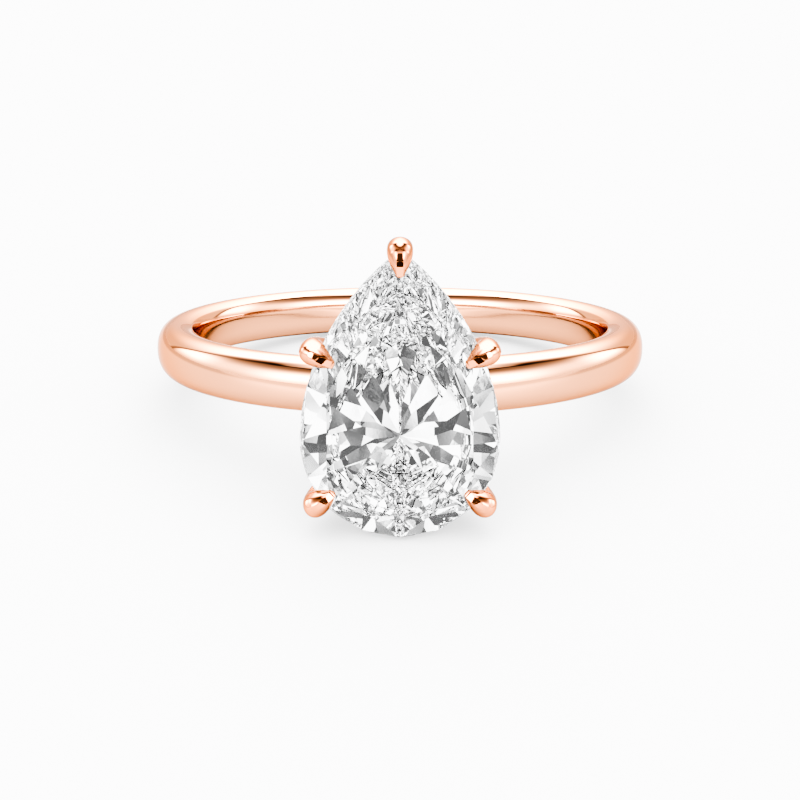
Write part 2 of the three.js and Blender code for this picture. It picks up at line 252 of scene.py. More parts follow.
# The top's glow, by height less a share of across, and its limit near the seam.
TOP_SLANT = 0.5
TOP_GLOW = (-0.12, 0.42, 0.3, 2.45)
TOP_GLOW_BY_SEAM = (0.02, 0.15, -0.3, 2.5)

# The side panels' glow at their top and at their foot, each the sum of a ramp towards the back
# and one towards the front, and how it rises between them and fades above.
SIDE_PEAK_BACK = (0.05, 0.4, 1.14, 2.39)
SIDE_PEAK_FRONT = (0.1, 0.65, 0.0, 1.45)
SIDE_FOOT_BACK = (0.0, 0.5, 0.26, -0.14)
SIDE_FOOT_FRONT = (0.0, 0.65, 0.0, 0.55)
SIDE_RISE = (-0.1, 0.22)
SIDE_FADE = (0.3, 0.75)
SIDE_FADED_GLOW = -1.2

# The dark card round the lens.
CARD_FRONT = (0.84, 0.9)
CARD_SIDE = (0.42, 0.36)
CARD_TOP = (0.56, 0.5)
CARD_GLOW = -2.0

# Light that has been mirrored several times is dimmed.
MIRROR_DIMMING = (1.5, 3.5, 1.0, 0.12)

# The light on the floor leans towards the front.
FLOOR_LIGHT = 7.4
FLOOR_LIGHT_UP = 0.8
FLOOR_LIGHT_FRONT = 0.6
# What the camera sees beyond the floor.
BACKDROP_LIGHT = 2.75

# The broken light seen through the stone: a noise by direction, and the radiance of its gaps and
# of its panels.
GEM_NOISE = {"scale": 5.0, "detail": 3.0}
GEM_ROUGHNESS = 0.6
GEM_SEED = 11.0
GEM_EDGES = (0.42, 0.57)
GEM_DARK = 0.15
GEM_BRIGHT = 2.8

# ---------------------------------------------------------------- where the ring lies

table_mount = next(mount for mount in record["mounts"] if mount["name"] == "stone_table")
REST_TILT = math.atan2(table_mount["axis"][2], -table_mount["axis"][1])
shank_low, shank_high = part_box("shank")
RING_CENTRE = (Vector(shank_low) + Vector(shank_high)) / 2
LYING = Matrix.Translation(RING_CENTRE) @ Matrix.Rotation(-REST_TILT, 4, "X")


def lie(x, y, z):
    """A point of the ring's own frame, in millimetres, as the ring lies on the floor."""
    return LYING @ Vector((x * MM, y * MM, z * MM))


def head_point(flat, height):
    """A point of the head, from its place in the pear's plane and its height."""
    return lie(flat[0], -height, flat[1])


def add_object(name, data):
    thing = bpy.data.objects.new(name, data)
    bpy.context.scene.collection.objects.link(thing)
    return thing


def add_camera():
    data = bpy.data.cameras.new("camera")
    data.lens = CAMERA_LENS
    data.sensor_width = SENSOR_WIDTH
    data.clip_start = CLIP_NEAR
    data.clip_end = CLIP_FAR
    camera = add_object("camera", data)
    back = math.cos(CAMERA_ELEVATION) * CAMERA_DISTANCE
    up = math.sin(CAMERA_ELEVATION) * CAMERA_DISTANCE
    look = Matrix.Rotation(math.pi / 2 - CAMERA_ELEVATION - CAMERA_PITCH, 4, "X")
    camera.matrix_world = LYING @ Matrix.Translation((0, -back, up)) @ look
    bpy.context.scene.camera = camera


# ---------------------------------------------------------------- node helpers


class Graph:
    """Short calls for building a node tree. A value is a number or another node's output."""

    def __init__(self, tree):
        self.tree = tree

    def add(self, kind, **settings):
        node = self.tree.nodes.new(kind)
        for name, value in settings.items():
            setattr(node, name, value)
        return node

    def put(self, value, socket):
        if isinstance(value, bpy.types.NodeSocket):
            self.tree.links.new(value, socket)
        else:
            socket.default_value = value

    def math(self, operation, *values):
        node = self.add("ShaderNodeMath", operation=operation)
        for value, socket in zip(values, node.inputs):
            self.put(value, socket)
        return node.outputs[0]

    def plus(self, first, second):
        return self.math("ADD", first, second)

    def minus(self, first, second):
        return self.math("SUBTRACT", first, second)

    def times(self, first, second):
        return self.math("MULTIPLY", first, second)

    def step(self, value, start, end, low=0.0, high=1.0):
        """A smooth change from low to high as the value goes from start to end."""
        node = self.add("ShaderNodeMapRange", interpolation_type="SMOOTHSTEP")
        if start > end:
            start, end, low, high = end, start, high, low
        for socket, setting in zip(node.inputs, (value, start, end, low, high)):
            self.put(setting, socket)
        return node.outputs["Result"]

    def mix(self, share, first, second):
        node = self.add("ShaderNodeMix", data_type="FLOAT")
        self.put(share, node.inputs[0])
        self.put(first, node.inputs[2])
        self.put(second, node.inputs[3])
        return node.outputs[0]

    def blend(self, share, first, second):
        """A mix of two colours."""
        node = self.add("ShaderNodeMix", data_type="RGBA")
        self.put(share, node.inputs["Factor"])
        for colour, name in ((first, "A"), (second, "B")):
            self.put((*colour, 1) if isinstance(colour, tuple) else colour, node.inputs[name])
        return node.outputs["Result"]

    def grey(self, tone):
        node = self.add("ShaderNodeCombineColor")
        for socket in node.inputs:
            self.put(tone, socket)
        return node.outputs[0]

    def bell(self, value, width):
        """A smooth bump of height 1 round zero."""
        share = self.math("DIVIDE", value, width)
        return self.math("EXPONENT", self.times(self.times(share, share), -1.0))

    def noise(self, place, scale, detail=2.0, **settings):
        node = self.add("ShaderNodeTexNoise", **settings)
        node.inputs["Scale"].default_value = scale
        node.inputs["Detail"].default_value = detail
        self.put(place, node.inputs["Vector"])
        return node.outputs["Fac"]

    def emboss(self, shader, height, strength, depth):
        """Bumps on the shader's surface."""
        bump = self.add("ShaderNodeBump")
        bump.inputs["Strength"].default_value = strength
        bump.inputs["Distance"].default_value = depth
        self.put(height, bump.inputs["Height"])
        self.put(bump.outputs["Normal"], shader.inputs["Normal"])


# ---------------------------------------------------------------- materials


def principled(name):
    material = bpy.data.materials.new(name)
    material.use_nodes = True
    return material, material.node_tree.nodes["Principled BSDF"], Graph(material.node_tree)


def rose_gold(name, pale, deep):
    """Mirror-polished rose gold with the faint ripple and haze that a polishing wheel leaves."""
    material, shader, graph = principled(name)
    shader.inputs["Metallic"].default_value = 1
    shader.inputs["Specular Tint"].default_value = (*GOLD_EDGE_TINT, 1)
    place = graph.add("ShaderNodeTexCoord").outputs["Object"]
    haze = graph.noise(place, **GOLD_HAZE)
    graph.put(graph.step(haze, *NOISE_RANGE, *GOLD_ROUGHNESS), shader.inputs["Roughness"])
    tone = graph.blend(graph.noise(place, **GOLD_TONE), deep, pale)
    # Painted reflection: where gold is seen mirrored in gold, its colour is the paler MIRRORED_GOLD.
    mirrors = graph.add("ShaderNodeLightPath").outputs["Glossy Depth"]
    seen = graph.blend(graph.step(mirrors, 0.0, 1.0), tone, MIRRORED_GOLD)
    graph.put(seen, shader.inputs["Base Color"])
    ripple = graph.noise(place, **GOLD_RIPPLE)
    graph.emboss(shader, ripple, GOLD_RIPPLE_STRENGTH, GOLD_RIPPLE_DEPTH)
    return material


def clear_diamond(name, roughness, grain_strength):
    """Colourless diamond, with the trace of haze and grain that its polishing leaves."""
    material, shader, graph = principled(name)
    shader.inputs["IOR"].default_value = DIAMOND_IOR
    shader.inputs["Transmission Weight"].default_value = 1
    shader.inputs["Specular Tint"].default_value = (*[DIAMOND_SURFACE_SHINE] * 3, 1)
    place = graph.add("ShaderNodeTexCoord").outputs["Object"]
    haze = graph.noise(place, **DIAMOND_HAZE)
    graph.put(graph.step(haze, *DIAMOND_HAZE_RANGE, *roughness), shader.inputs["Roughness"])
    tint = graph.blend(haze, DIAMOND_WHITE, DIAMOND_COOL_WHITE)
    graph.put(tint, shader.inputs["Base Color"])
    grain = graph.noise(place, **DIAMOND_GRAIN)
    graph.emboss(shader, grain, grain_strength, DIAMOND_GRAIN_DEPTH)
    return material


def bruted_rim_painted_dark(name):
    """The hair-thin edge of the girdle, matt as the bruting wheel leaves it, in a dark grey that is
    painted shade drawing the stone's outline.
    """
    material, shader, graph = principled(name)
    place = graph.add("ShaderNodeTexCoord").outputs["Object"]
    grain = graph.noise(place, **RIM_GRAIN)
    tone = graph.grey(graph.step(grain, *NOISE_RANGE, *RIM_PAINTED_SHADE_TONE))
    graph.put(tone, shader.inputs["Base Color"])
    graph.put(graph.step(grain, *NOISE_RANGE, *RIM_ROUGHNESS), shader.inputs["Roughness"])
    graph.emboss(shader, grain, RIM_GRAIN_STRENGTH, RIM_GRAIN_DEPTH)
    return material


GOLD = rose_gold("rose_gold", GOLD_PALE, GOLD_DEEP)
# The claws get the deeper copy of the gold, a painted shade.
SHADED_CLAW_GOLD = rose_gold("rose_gold_claws", SHADED_CLAW_GOLD_PALE, SHADED_CLAW_GOLD_DEEP)
STONE_MATERIALS = (
    clear_diamond("diamond", FACET_ROUGHNESS, FACET_GRAIN_STRENGTH),
    clear_diamond("diamond_girdle", GIRDLE_ROUGHNESS, GIRDLE_GRAIN_STRENGTH),
    bruted_rim_painted_dark("diamond_rim_painted_shade"),
)
FACET, GIRDLE, RIM = range(len(STONE_MATERIALS))

# ---------------------------------------------------------------- pieces


def add_piece(name, bm, material, replaced, slot):
    mesh = bpy.data.meshes.new(name)
    bmesh.ops.recalc_face_normals(bm, faces=bm.faces)
    bm.to_mesh(mesh)
    bm.free()
    mesh.materials.append(material)
    piece = add_object(name, mesh)
    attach(piece, "root")
    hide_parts(replaced)
    piece.visible_transmission = slot == "diamond"
    return piece


def smooth_shading(bm, crease=CREASE):
    for face in bm.faces:
        face.smooth = True
    for edge in bm.edges:
        edge.smooth = len(edge.link_faces) == 2 and edge.calc_face_angle() < crease


def skin(bm, loops, closed_path):
    """Quads between neighbouring loops of vertices."""
    count = len(loops)
    size = len(loops[0])
    for i in range(count if closed_path else count - 1):
        here, there = loops[i], loops[(i + 1) % count]
        for j in range(size):
            k = (j + 1) % size
            bm.faces.new((here[j], there[j], there[k], here[k]))


def shares(steps):
    """Even shares of a whole, from the first step to the last."""
    return [i / steps for i in range(1, steps + 1)]


# ---------------------------------------------------------------- band


def band_section():
    """The band's section: a comfort-fit bore with eased edges, swelling sides and a domed face."""
    half = BAND_WIDTH / 2
    bore = BORE_WIDTH / 2

    def side(depth):
        bulge = 1 - depth / BAND_WIDEST_DEPTH
        return half - BAND_SIDE_SWELL * bulge * bulge

    upper = [(BORE_CROWN * share**4, bore * share) for share in [0, *shares(BORE_STEPS)]]

    # The bore's edge is a quadratic Bezier that leaves and arrives along its neighbours.
    start = Vector((BORE_CROWN, bore))
    end = Vector((BORE_EDGE_DEPTH, side(BORE_EDGE_DEPTH)))
    edge_bulge = 1 - BORE_EDGE_DEPTH / BAND_WIDEST_DEPTH
    leave = Vector((4 * BORE_CROWN, bore))
    arrive = Vector((1, 2 * BAND_SIDE_SWELL * edge_bulge / BAND_WIDEST_DEPTH))
    gap = end - start
    gap_cross = gap.x * arrive.y - gap.y * arrive.x
    leave_cross = leave.x * arrive.y - leave.y * arrive.x
    corner = start + leave * gap_cross / leave_cross
    for t in shares(EDGE_STEPS):
        upper.append(tuple(start * (1 - t) ** 2 + corner * 2 * t * (1 - t) + end * t * t))

    for share in shares(SIDE_STEPS):
        depth = BORE_EDGE_DEPTH + (BAND_WIDEST_DEPTH - BORE_EDGE_DEPTH) * share
        upper.append((depth, side(depth)))
    for share in shares(DOME_STEPS):
        angle = math.pi / 2 * (1 - share)
        reach = math.cos(angle) ** (2 / BAND_DOME_POWER)
        depth = BAND_WIDEST_DEPTH + (BAND_THICKNESS - BAND_WIDEST_DEPTH) * reach
        upper.append((depth, half * math.sin(angle) ** (2 / BAND_DOME_POWER)))
    lower = [(depth, -along) for depth, along in reversed(upper[1:-1])]
    return upper + lower


def band():
    bm = bmesh.new()
    section = [(BORE_RADIUS + depth, along) for depth, along in band_section()]
    loops = []
    for i in range(BAND_TURNS):
        angle = 2 * math.pi * i / BAND_TURNS
        s, c = math.sin(angle), math.cos(angle)
        loops.append([bm.verts.new(lie(r * s, r * c, z)) for r, z in section])
    skin(bm, loops, closed_path=True)
    for face in bm.faces:
        face.smooth = True
    return add_piece("band", bm, GOLD, "shank", "rose_gold")


# ---------------------------------------------------------------- pear outline


def wing_table():
    """The wing's Bezier corners, and many points along it with their distances."""
    tip_across = WING_TIP_HANDLE * math.sin(TIP_HALF_ANGLE)
    tip_along = WING_TIP_HANDLE * math.cos(TIP_HALF_ANGLE)
    corners = (
        Vector((BELLY_RADIUS, BELLY_CENTRE_Z)),
        Vector((BELLY_RADIUS, BELLY_CENTRE_Z + WING_SIDE_HANDLE)),
        Vector((tip_across, TIP_Z - tip_along)),
        Vector((0, TIP_Z)),
    )
    points = []
    lengths = []
    for i in range(WING_SAMPLES + 1):
        t = i / WING_SAMPLES
        weights = ((1 - t) ** 3, 3 * t * (1 - t) ** 2, 3 * t * t * (1 - t), t**3)
        point = sum((corner * weight for corner, weight in zip(corners, weights)), Vector((0, 0)))
        lengths.append(lengths[-1] + (point - points[-1]).length if points else 0.0)
        points.append(point)
    return corners, points, lengths


WING_CORNERS, WING_POINTS, WING_LENGTHS = wing_table()


def wing_place(share):
    """A place and its outward normal, at a share of the wing's length."""
    target = share * WING_LENGTHS[-1]
    low, high = 0, WING_SAMPLES
    while high - low > 1:
        middle = (low + high) // 2
        if WING_LENGTHS[middle] <= target:
            low = middle
        else:
            high = middle
    part = (target - WING_LENGTHS[low]) / (WING_LENGTHS[high] - WING_LENGTHS[low])
    t = (low + part) / WING_SAMPLES
    point = WING_POINTS[low].lerp(WING_POINTS[high], part)
    a, b, c, d = WING_CORNERS
    tangent = ((b - a) * (1 - t) ** 2 + (c - b) * 2 * t * (1 - t) + (d - c) * t * t).normalized()
    return point, Vector((tangent.y, -tangent.x))


def place_round(station):
    """A place on the pear: 0 is the bottom of the belly, 1 the right side, 2 the tip, 3 the left."""
    station %= 4
    if station > 2:
        point, normal = place_round(4 - station)
        return Vector((-point.x, point.y)), Vector((-normal.x, normal.y))
    if station <= 1:
        angle = (station - 1) * math.pi / 2
        normal = Vector((math.cos(angle), math.sin(angle)))
        return Vector((0, BELLY_CENTRE_Z)) + normal * BELLY_RADIUS, normal
    return wing_place(station - 1)


# ---------------------------------------------------------------- stone


def meeting(first, second, reach):
    """Where the level lines of two neighbouring facets cross."""
    (_, a), (_, b) = first, second
    determinant = a.x * b.y - a.y * b.x
    along_a, along_b = reach(first), reach(second)
    x = (along_a * b.y - along_b * a.y) / determinant
    y = (along_b * a.x - along_a * b.x) / determinant
    return Vector((x, y))


def plane_through(first, second, third):
    """The plane of a facet, facing away from the middle of the stone."""
    normal = (second - first).cross(third - first).normalized()
    if normal.dot(first - Vector((0, 0, GIRDLE_HEIGHT - 1))) < 0:
        normal = -normal
    return first, normal


def main_plane(place, height, inner):
    """A main facet: level along the girdle at its place, and through a point inside."""
    point, normal = place
    along = Vector((-normal.y, normal.x, 0))
    return plane_through(inner, inner + along, Vector((*point, height)))


def half_planes(station, height, inner):
    """The two half facets that follow a main facet, from the girdle to a point inside."""
    planes = []
    for start in (station, station + HALF_FACET_SPAN):
        first = Vector((*place_round(start)[0], height))
        last = Vector((*place_round(start + HALF_FACET_SPAN)[0], height))
        planes.append(plane_through(first, last, inner))
    return planes


def valley_plane(station, height, inner):
    """A narrow facet along the valley between two half facets, from the girdle to a point inside."""
    point, normal = place_round(station + HALF_FACET_SPAN)
    outer = Vector((*point, height))
    return plane_through(outer, outer + Vector((-normal.y, normal.x, 0)), inner)


STATIONS = [FIRST_MAIN_STATION + 4 * i / MAIN_FACETS for i in range(MAIN_FACETS)]
MAINS = [place_round(station) for station in STATIONS]


def crown_planes():
    girdle_top = GIRDLE_HEIGHT + GIRDLE_THICKNESS / 2
    table_height = girdle_top + CROWN_RISE
    table = [Vector((*(point - normal * BEZEL_INSET), table_height)) for point, normal in MAINS]

    def star_reach(place):
        return (place[0] - place[1] * BEZEL_INSET * (1 - STAR_SHARE)).dot(place[1])

    planes = [(table[0], Vector((0, 0, 1)))]
    for i, main in enumerate(MAINS):
        after = (i + 1) % MAIN_FACETS
        flat = meeting(main, MAINS[after], star_reach)
        star = Vector((*flat, table_height - CROWN_RISE * STAR_SHARE))
        planes.append(main_plane(main, girdle_top, table[i]))
        planes.append(plane_through(table[i], star, table[after]))
        planes += half_planes(STATIONS[i], girdle_top, star)
        if i != TIP_VALLEY:
            inner = star - Vector((0, 0, CROWN_VALLEY_CUT))
            planes.append(valley_plane(STATIONS[i], girdle_top, inner))
    return planes


def pavilion_planes():
    girdle_bottom = GIRDLE_HEIGHT - GIRDLE_THICKNESS / 2
    culet = Vector((0, BELLY_CENTRE_Z, girdle_bottom - PAVILION_DEPTH))

    def ridge_reach(place):
        point, normal = place
        culet_reach = culet.xy.dot(normal)
        return culet_reach + (point - culet.xy).dot(normal) * (1 - LOWER_HALF_SHARE)

    planes = []
    for i, main in enumerate(MAINS):
        flat = meeting(main, MAINS[(i + 1) % MAIN_FACETS], ridge_reach)
        ridge = Vector((*flat, girdle_bottom - PAVILION_DEPTH * LOWER_HALF_SHARE))
        planes.append(main_plane(main, girdle_bottom, culet))
        planes += half_planes(STATIONS[i], girdle_bottom, ridge)
        if i != TIP_VALLEY:
            inner = ridge + Vector((0, 0, PAVILION_VALLEY_CUT))
            planes.append(valley_plane(STATIONS[i], girdle_bottom, inner))
    return planes


def stone_form():
    """The stone, cut by its facet planes from a blank with the pear's outline, in millimetres."""
    bm = bmesh.new()
    bottom = GIRDLE_HEIGHT - PAVILION_DEPTH - BLANK_MARGIN
    top = GIRDLE_HEIGHT + CROWN_RISE + BLANK_MARGIN
    outline = [place_round(i / OUTLINE_STEPS)[0] for i in range(4 * OUTLINE_STEPS)]
    lower = [bm.verts.new((*flat, bottom)) for flat in outline]
    upper = [bm.verts.new((*flat, top)) for flat in outline]
    skin(bm, [lower, upper], closed_path=False)
    bm.faces.new(list(reversed(lower)))
    bm.faces.new(upper)
    bmesh.ops.recalc_face_normals(bm, faces=bm.faces)
    for point, normal in crown_planes() + pavilion_planes():
        cut = bmesh.ops.bisect_plane(
            bm,
            geom=bm.verts[:] + bm.edges[:] + bm.faces[:],
            dist=CUT_TOLERANCE,
            plane_co=point,
            plane_no=normal,
            clear_outer=True,
        )
        edges = [part for part in cut["geom_cut"] if isinstance(part, bmesh.types.BMEdge)]
        if edges:
            bmesh.ops.contextual_create(bm, geom=edges)
    bmesh.ops.remove_doubles(bm, verts=bm.verts, dist=MERGE_DISTANCE)
    bmesh.ops.recalc_face_normals(bm, faces=bm.faces)
    return bm


def on_rim(edge):
    """True for an edge between the girdle and the crown."""
    kinds = {face.material_index for face in edge.link_faces}
    return edge.verts[0].co.z > GIRDLE_HEIGHT and kinds == {FACET, GIRDLE}


def stone_mesh(grow=0.0):
    """The finished stone where it lies, or a copy grown by a share of its size."""
    bm = stone_form()
    for face in bm.faces:
        face.material_index = GIRDLE if abs(face.normal.z) < UPRIGHT_SLOPE else FACET
    bmesh.ops.bevel(
        bm,
        geom=[edge for edge in bm.edges if on_rim(edge)],
        offset=RIM_WIDTH,
        offset_type="OFFSET",
        segments=1,
        affect="EDGES",
        material=RIM,
    )
    for vert in bm.verts:
        flat = Vector((vert.co.x, vert.co.y - BELLY_CENTRE_Z)) * (1 + grow)
        height = GIRDLE_HEIGHT + (vert.co.z - GIRDLE_HEIGHT) * (1 + grow)
        vert.co = head_point((flat.x, flat.y + BELLY_CENTRE_Z), height)
    return bm


def stone():
    piece = add_piece("stone", stone_mesh(), STONE_MATERIALS[FACET], "diamond", "diamond")
    for material in STONE_MATERIALS[GIRDLE:]:
        piece.data.materials.append(material)
    return piece


# ---------------------------------------------------------------- claws


def catmull_rom(points, share):
    """A point of the centripetal Catmull-Rom curve through some points."""
    place = share * (len(points) - 1)
    index = min(int(place), len(points) - 2)
    t = place - index
    first = points[index - 1] if index else 2 * points[0] - points[1]
    last = points[index + 2] if index + 2 < len(points) else 2 * points[-1] - points[-2]
    knots = (first, points[index], points[index + 1], last)
    gaps = [max((b - a).length, 1e-9) ** 0.5 for a, b in zip(knots, knots[1:])]
    p0, p1, p2, p3 = knots
    d0, d1, d2 = gaps
    start = ((p1 - p0) / d0 - (p2 - p0) / (d0 + d1) + (p2 - p1) / d1) * d1
    end = ((p2 - p1) / d1 - (p3 - p1) / (d1 + d2) + (p3 - p2) / d2) * d1
    return (
        p1 * (2 * t**3 - 3 * t * t + 1)
        + start * (t**3 - 2 * t * t + t)
        + p2 * (3 * t * t - 2 * t**3)
        + end * (t**3 - t * t)
    )


def turned(vector, angle):
    c, s = math.cos(angle), math.sin(angle)
    return Vector((vector.x * c - vector.y * s, vector.x * s + vector.y * c))


def claw_sections(point, normal, rail_offset):
    """The middles, tops and half widths of a claw's sections, from its foot to its point."""
    flat_out = Vector((normal.x, 0, normal.y))
    across = Vector((-normal.y, 0, normal.x))
    grip = Vector((point.x, 0, point.y))

    def spot(offset, height):
        return grip + flat_out * offset - Vector((0, height, 0))

    foot_flat = point.normalized() * CLAW_FOOT_RADIUS
    centres = [
        Vector((foot_flat.x, -CLAW_FOOT_HEIGHT, foot_flat.y)),
        spot(rail_offset, LOWER_RAIL["height"]),
        spot(*CLAW_NECK),
    ]
    wire = [*centres, spot(*CLAW_HEAD[0][0])]
    tops = []
    for i, radius in enumerate(CLAW_WIRE_RADII):
        tangent = (wire[i + 1] - wire[max(i - 1, 0)]).normalized()
        out = tangent.cross(across).normalized()
        if out.dot(flat_out) < 0:
            out = -out
        tops.append(wire[i] + out * radius)
    widths = list(CLAW_WIRE_RADII)
    for centre, top, width in CLAW_HEAD:
        centres.append(spot(*centre))
        tops.append(spot(*top))
        widths.append(width)
    return centres, tops, widths


def claw_loop(bm, centre, up, across, width, flat):
    """One section: round below, and a dome above whose crest is cut to a flat ridge."""
    clip = math.sqrt(max(1 - (flat / width) ** 2, 0))
    loop = []
    for j in range(CLAW_SIDES):
        angle = 2 * math.pi * (j + 0.5) / CLAW_SIDES
        side, rise = math.cos(angle), math.sin(angle)
        if flat and rise > 0:
            quarter = math.acos(abs(side)) / (math.pi / 2)
            if quarter < CLAW_ROUND_SHARE:
                turn = math.asin(clip) * quarter / CLAW_ROUND_SHARE
                side, rise = math.copysign(math.cos(turn), side), math.sin(turn)
            else:
                inward = flat / width * (1 - quarter) / (1 - CLAW_ROUND_SHARE)
                side, rise = math.copysign(inward, side), clip
            rise /= clip
        spot = centre + across * side * width + up * rise
        loop.append(bm.verts.new(LYING @ (spot * MM)))
    return loop


def claw(name, point, normal, rail_offset):
    centres, tops, widths = claw_sections(point, normal, rail_offset)
    flat_out = Vector((normal.x, 0, normal.y))
    across = Vector((-normal.y, 0, normal.x))
    wide = [Vector((width, 0, 0)) for width in widths]
    ridge_start = CLAW_RIDGE_SECTION / (len(centres) - 1)
    bm = bmesh.new()
    loops = []
    for i in range(CLAW_STEPS + 1):
        share = i / CLAW_STEPS
        centre = catmull_rom(centres, share)
        up = catmull_rom(tops, share) - centre
        width = catmull_rom(wide, share).x
        ridge = CLAW_RIDGE * min(max((share - ridge_start) / CLAW_RIDGE_RUN, 0.0), 1.0)
        flat = min(ridge, width * CLAW_RIDGE_LIMIT)
        loops.append(claw_loop(bm, centre, up, across, width, flat))
    for k in range(1, CLAW_POINT_LOOPS + 1):
        angle = math.pi / 2 * k / CLAW_POINT_CLOSING
        shrink = math.cos(angle)
        middle = centre - flat_out * CLAW_POINT_LENGTH * math.sin(angle)
        end_up = up * (CLAW_POINT_END_RISE + (1 - CLAW_POINT_END_RISE) * shrink)
        loops.append(claw_loop(bm, middle, end_up, across, width * shrink, ridge * shrink))
    skin(bm, loops, closed_path=False)
    bm.faces.new(list(reversed(loops[0])))
    bm.faces.new(loops[-1])
    piece = add_piece(name.replace("claw", "prong"), bm, SHADED_CLAW_GOLD, name, "rose_gold")
    seat_on_stone(piece)
    return piece


def seat_on_stone(piece):
    """Cuts the claw's seat to the stone, with a hair of clearance."""
    mesh = bpy.data.meshes.new("seat")
    cutter_form = stone_mesh(SOLDER_GAP / BELLY_RADIUS / 2)
    bmesh.ops.recalc_face_normals(cutter_form, faces=cutter_form.faces)
    cutter_form.to_mesh(mesh)
    cutter_form.free()
    cutter = add_object("seat", mesh)
    modifier = piece.modifiers.new("seat", "BOOLEAN")
    modifier.operation = "DIFFERENCE"
    modifier.solver = "EXACT"
    modifier.use_self = True
    modifier.object = cutter
    bpy.context.view_layer.update()
    evaluated = piece.evaluated_get(bpy.context.evaluated_depsgraph_get())
    shaped = bpy.data.meshes.new_from_object(evaluated)
    piece.modifiers.clear()
    old = piece.data
    piece.data = shaped
    bpy.data.meshes.remove(old)
    shaped.name = piece.name
    bpy.data.objects.remove(cutter)
    bpy.data.meshes.remove(mesh)
    bm = bmesh.new()
    bm.from_mesh(shaped)
    smooth_shading(bm)
    bm.to_mesh(shaped)
    bm.free()


def claws():
    claw("claw_tip", Vector((0, TIP_Z - TIP_GRIP_INSET)), Vector((0, 1)), TIP_RAIL_OFFSET)
    for part, (station, turn, rail_offset) in (("shoulder", SHOULDER_GRIP), ("belly", BELLY_GRIP)):
        point, normal = place_round(station)
        normal = turned(normal, turn)
        for hand, side in (("right", 1), ("left", -1)):
            here = Vector((point.x * side, point.y))
            outward = Vector((normal.x * side, normal.y))
            claw(f"claw_{part}_{hand}", here, outward, rail_offset)


# ---------------------------------------------------------------- rails and base


def rail(name, size):
    """A loop of round wire inside the pear: two wing arcs, the belly arc and a rounded tip."""
    belly = BELLY_RADIUS - size["inset"]
    wing_radius = (BELLY_RADIUS**2 + (TIP_Z - BELLY_CENTRE_Z) ** 2) / (2 * BELLY_RADIUS)
    wing = wing_radius - size["inset"]
    shift = wing - belly
    reach = math.sqrt((wing - size["tip"]) ** 2 - shift**2)
    tip_angle = math.atan2(reach, shift)
    arcs = (
        (Vector((0, BELLY_CENTRE_Z)), belly, -math.pi, 0),
        (Vector((-shift, BELLY_CENTRE_Z)), wing, 0, tip_angle),
        (Vector((0, BELLY_CENTRE_Z + reach)), size["tip"], tip_angle, math.pi - tip_angle),
        (Vector((shift, BELLY_CENTRE_Z)), wing, math.pi - tip_angle, math.pi),
    )
    bm = bmesh.new()
    loops = []
    for centre, radius, start, end in arcs:
        steps = max(RAIL_LEAST_STEPS, round(radius * (end - start) / RAIL_STEP))
        for i in range(steps):
            angle = start + (end - start) * i / steps
            out = Vector((math.cos(angle), math.sin(angle)))
            loop = []
            for j in range(RAIL_SIDES):
                turn = 2 * math.pi * j / RAIL_SIDES
                flat = centre + out * (radius + size["wire"] * math.cos(turn))
                height = size["height"] + size["wire"] * math.sin(turn)
                loop.append(bm.verts.new(head_point(flat, height)))
            loops.append(loop)
    skin(bm, loops, closed_path=True)
    smooth_shading(bm)
    wire_name = name.replace("gallery_rail", "gallery_wire")
    return add_piece(wire_name, bm, GOLD, name, "rose_gold")


def base():
    """A small turned seat that flares into the band with a solder fillet."""
    foot = BORE_RADIUS + BAND_THICKNESS - BASE_SINK
    profile = [(BASE_RADIUS + more, foot + rise) for more, rise in BASE_FLARE]
    profile += [(BASE_RADIUS - less, BASE_TOP_HEIGHT - drop) for less, drop in BASE_BEVEL]
    profile.append((BASE_DIMPLE_RADIUS, BASE_TOP_HEIGHT - BASE_DIMPLE_DEPTH))
    bm = bmesh.new()
    loops = []
    for radius, height in profile:
        loop = []
        for j in range(BASE_SIDES):
            angle = 2 * math.pi * j / BASE_SIDES
            flat = (radius * math.cos(angle), radius * math.sin(angle))
            loop.append(bm.verts.new(head_point(flat, height)))
        loops.append(loop)
    skin(bm, loops, closed_path=False)
    bm.faces.new(loops[0])
    bm.faces.new(list(reversed(loops[-1])))
    bmesh.ops.recalc_face_normals(bm, faces=bm.faces)
    smooth_shading(bm, BASE_CREASE)
    return add_piece("head_seat", bm, GOLD, "head_base", "rose_gold")


# ---------------------------------------------------------------- surroundings


